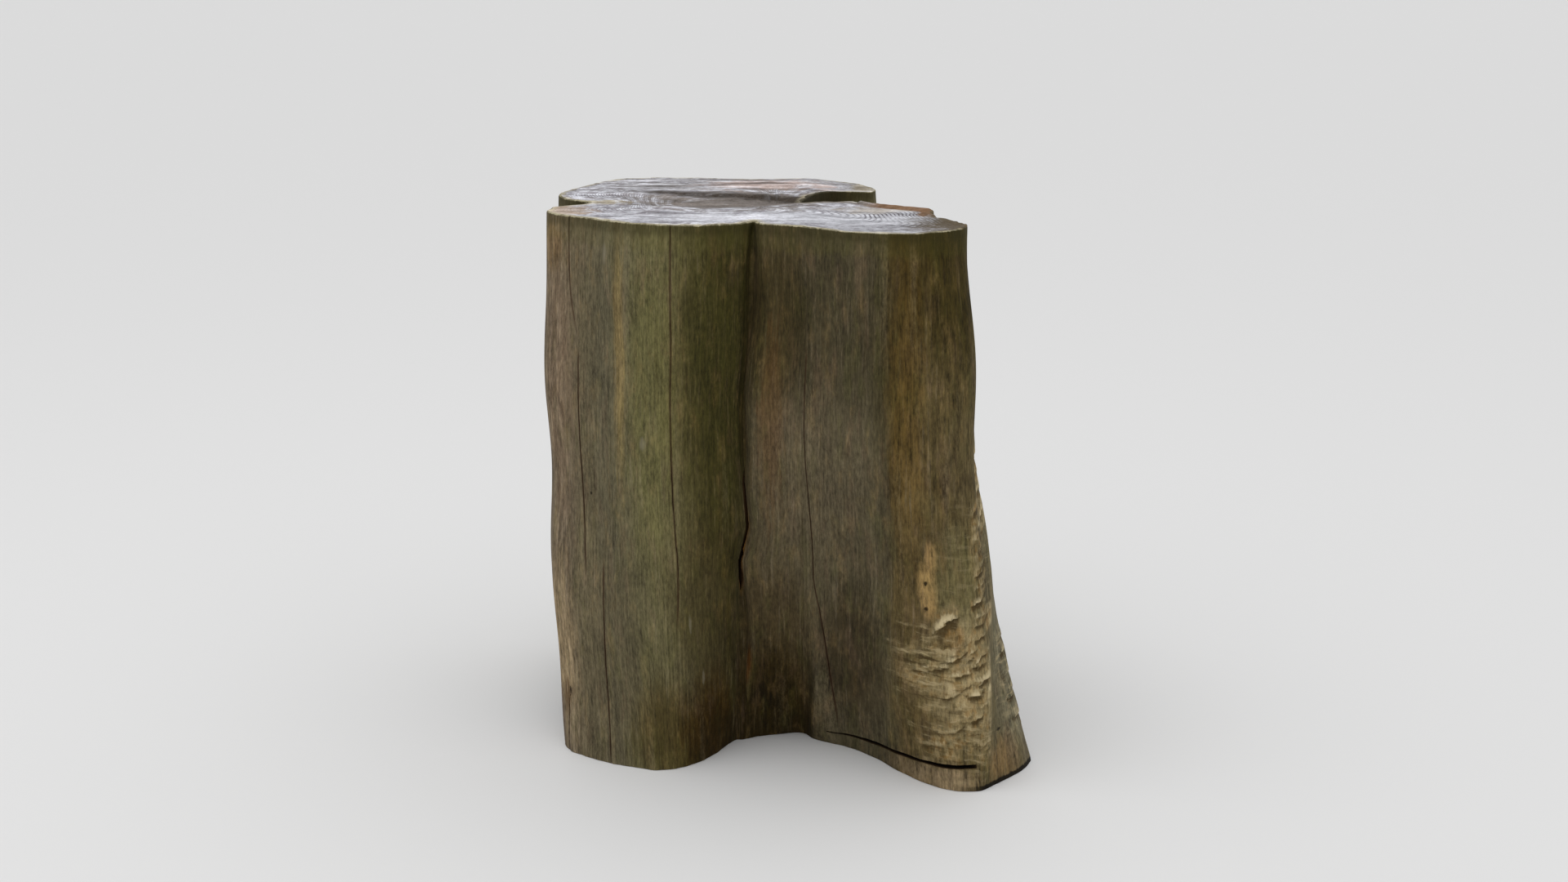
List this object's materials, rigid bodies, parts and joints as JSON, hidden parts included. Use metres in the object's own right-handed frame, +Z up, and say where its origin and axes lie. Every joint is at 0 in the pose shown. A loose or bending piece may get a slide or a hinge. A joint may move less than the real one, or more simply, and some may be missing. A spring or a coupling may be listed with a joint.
{
  "type": "tree stump",
  "caption": "Weathered, barkless tree stump, sawn flat at both ends, with deep flutes between its lobes and one flared root trimmed with a hatchet.",
  "frame": {"origin": "middle of the bounding box, seen from above, on the sawn base that the stump stands on", "axes": "+Z up along the trunk; the face with the long seam looks along -Y; the flared, trimmed root is towards +X and -Y"},
  "size_m": [0.5618, 0.527, 0.62],
  "materials": {
    "stump": "bare weathered wood, matt, with algae-green and ochre stains and grey end grain"
  },
  "bodies": {
    "root": {"stump": "stump"}
  },
  "joints": []
}
